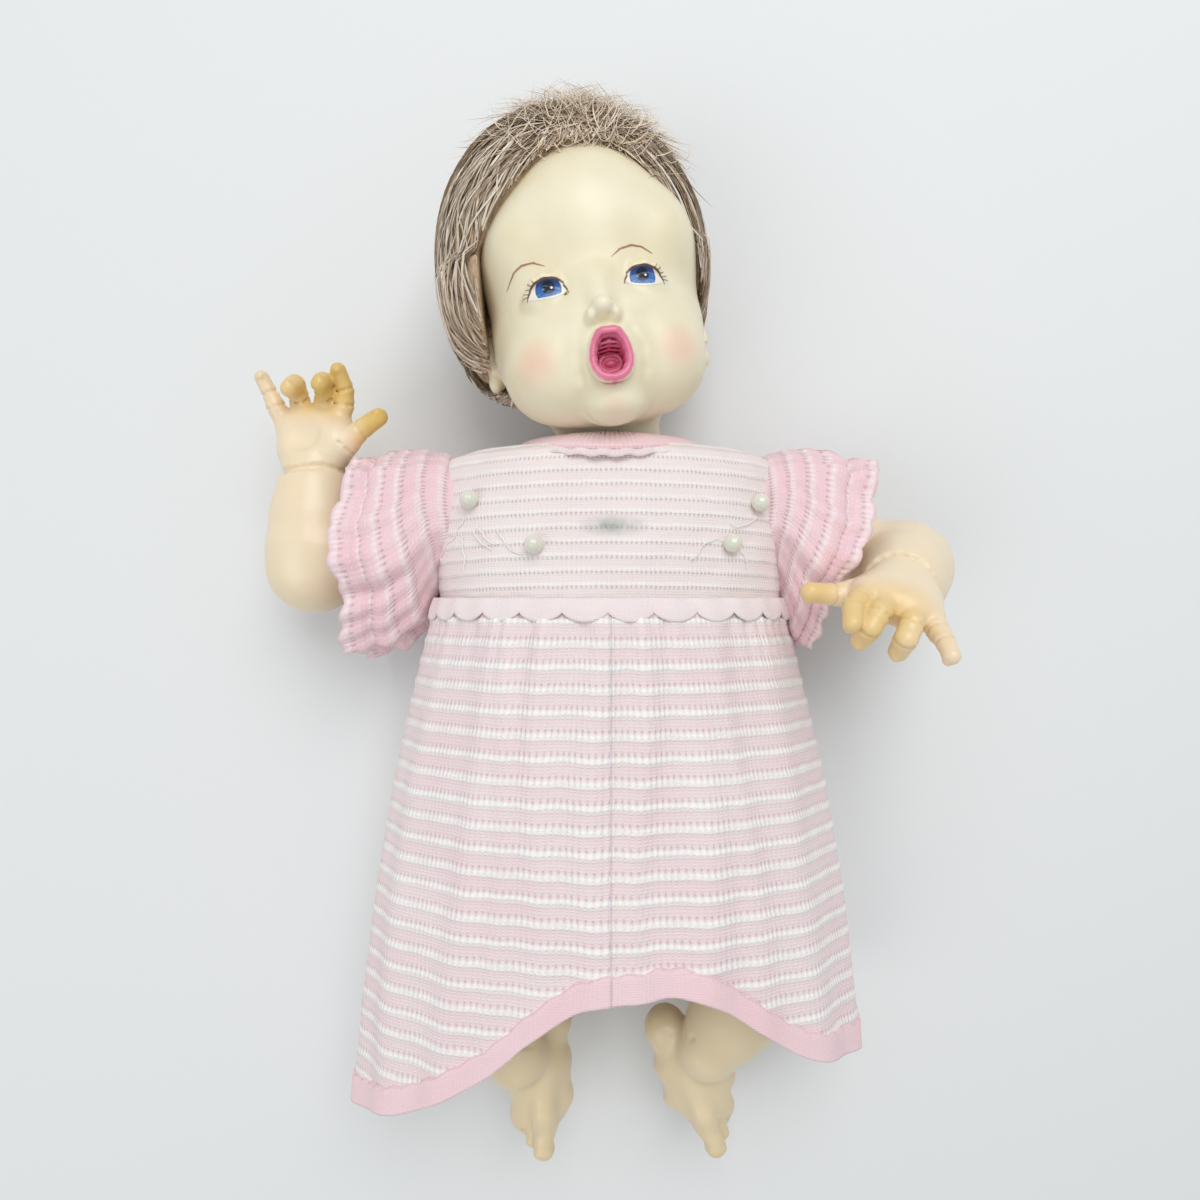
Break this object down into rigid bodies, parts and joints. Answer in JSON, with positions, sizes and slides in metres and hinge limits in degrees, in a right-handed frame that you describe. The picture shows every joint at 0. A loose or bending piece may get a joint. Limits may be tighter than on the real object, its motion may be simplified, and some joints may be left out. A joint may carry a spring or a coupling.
{
  "type": "interactive baby doll",
  "caption": "Soft-vinyl baby doll with a singing open mouth, rooted hair and painted eyes, in a knitted striped dress; head, arms and legs turn and hidden buttons press.",
  "frame": {"origin": "on the resting plane under the waist seam, on the centreline of the back of the dress", "axes": "+Z out of the chest, +Y towards the head, +X to the doll's left; the doll lies on its back"},
  "size_m": [0.3406, 0.5189, 0.1357],
  "materials": {
    "torso_front_shell": "front half of the hard torso with speaker grille and tummy-button bore",
    "torso_back_shell": "back half of the hard torso with battery opening and switch pocket",
    "torso_screws": "screws that close the torso shells",
    "battery_box": "walls and roof of the battery bay",
    "battery_cells": "two C cells",
    "battery_contacts": "contact leaves at the ends of the cells",
    "battery_door": "cover over the battery bay, held by a screw",
    "battery_door_screw": "screw of the battery door",
    "circuit_board": "sound board on posts of the back shell",
    "board_components": "chip, relay block and capacitors on the board",
    "speaker_frame": "basket of the speaker",
    "speaker_cone": "paper cone of the speaker",
    "speaker_magnet": "magnet of the speaker",
    "tummy_button": "button under the dress that starts the song",
    "tummy_spring": "return spring of the tummy button",
    "tummy_switch": "switch that the tummy button's stem reaches",
    "tummy_switch_bracket": "bracket that carries the switch and the spring",
    "power_switch": "body of the slide switch",
    "power_slider": "knob of the slide switch",
    "neck_knob": "turning neck plug with a ball",
    "head_shell": "soft-vinyl head with ears, nose and open mouth",
    "tongue_button": "oval tongue that presses in",
    "tongue_spring": "return spring of the tongue",
    "mouth_switch": "switch behind the tongue",
    "hair": "rooted hair",
    "arm_right": "right arm of soft vinyl with its hand",
    "arm_left": "left arm of soft vinyl with its hand",
    "leg_right": "right leg of soft vinyl with its foot",
    "leg_left": "left leg of soft vinyl with its foot",
    "bodice_front": "knitted bodice, front",
    "bodice_back": "knitted bodice, back",
    "skirt_front": "knitted skirt, front panel",
    "skirt_back": "knitted skirt, back panel",
    "hem_band_front": "ribbed hem band of the front panel",
    "hem_band_back": "ribbed hem band of the back panel",
    "collar": "ribbed collar",
    "waist_trim": "scalloped trim under the waist seam",
    "bead_buttons": "four ribbed bead buttons on the bodice",
    "sleeve_right": "right puff sleeve",
    "sleeve_left": "left puff sleeve"
  },
  "bodies": {
    "torso": {"torso_front_shell": "torso_front_shell", "torso_back_shell": "torso_back_shell", "torso_screws": "torso_screws", "battery_box": "battery_box", "battery_cells": "battery_cells", "battery_contacts": "battery_contacts", "battery_door": "battery_door", "battery_door_screw": "battery_door_screw", "circuit_board": "circuit_board", "board_components": "board_components", "speaker_frame": "speaker_frame", "speaker_cone": "speaker_cone", "speaker_magnet": "speaker_magnet", "tummy_spring": "tummy_spring", "tummy_switch": "tummy_switch", "tummy_switch_bracket": "tummy_switch_bracket", "power_switch": "power_switch", "bodice_front": "bodice_front", "bodice_back": "bodice_back", "skirt_front": "skirt_front", "skirt_back": "skirt_back", "hem_band_front": "hem_band_front", "hem_band_back": "hem_band_back", "collar": "collar", "waist_trim": "waist_trim", "bead_buttons": "bead_buttons", "sleeve_left": "sleeve_left", "sleeve_right": "sleeve_right"},
    "neck": {"neck_knob": "neck_knob"},
    "head": {"head_shell": "head_shell", "hair": "hair", "mouth_switch": "mouth_switch", "tongue_spring": "tongue_spring"},
    "tongue": {"tongue_button": "tongue_button"},
    "arm_right": {"arm_right": "arm_right"},
    "arm_left": {"arm_left": "arm_left"},
    "leg_right": {"leg_right": "leg_right"},
    "leg_left": {"leg_left": "leg_left"},
    "tummy_button": {"tummy_button": "tummy_button"},
    "power_slider": {"power_slider": "power_slider"}
  },
  "joints": [
    {"name": "head_turn", "type": "hinge", "parent": "torso", "child": "neck", "pos_m": [0, 0.06, 0.047], "axis": [0, 1, 0], "range_deg": [-48, 42]},
    {"name": "head_tilt", "type": "hinge", "parent": "neck", "child": "head", "pos_m": [0, 0.08, 0.047], "axis": [0, 0, 1], "range_deg": [-18, 3]},
    {"name": "tongue_press", "type": "slide", "parent": "head", "child": "tongue", "axis": [0.0518, 0.0073, 0.9986], "range_m": [-0.003, 0], "stiffness_N_per_m": 250, "springref_m": 0.0015, "deforming": ["tongue_spring"]},
    {"name": "shoulder_right", "type": "hinge", "parent": "torso", "child": "arm_right", "pos_m": [-0.057, 0.044, 0.047], "axis": [-0.9563, -0.2924, 0], "range_deg": [-140, 25], "deforming": ["sleeve_right"]},
    {"name": "shoulder_left", "type": "hinge", "parent": "torso", "child": "arm_left", "pos_m": [0.057, 0.044, 0.047], "axis": [0.9563, -0.2924, 0], "range_deg": [-130, 25], "deforming": ["sleeve_left"]},
    {"name": "hip_right", "type": "hinge", "parent": "torso", "child": "leg_right", "pos_m": [-0.034, -0.1, 0.047], "axis": [-1, 0, 0], "range_deg": [-8, 75], "deforming": ["skirt_front", "hem_band_front"]},
    {"name": "hip_left", "type": "hinge", "parent": "torso", "child": "leg_left", "pos_m": [0.034, -0.1, 0.047], "axis": [-1, 0, 0], "range_deg": [-8, 75], "deforming": ["skirt_front", "hem_band_front"]},
    {"name": "tummy_press", "type": "slide", "parent": "torso", "child": "tummy_button", "axis": [0, 0, 1], "range_m": [-0.003, 0], "stiffness_N_per_m": 400, "springref_m": 0.0015, "deforming": ["tummy_spring"]},
    {"name": "power_slide", "type": "slide", "parent": "torso", "child": "power_slider", "axis": [0, 1, 0], "range_m": [0, 0.005]}
  ]
}
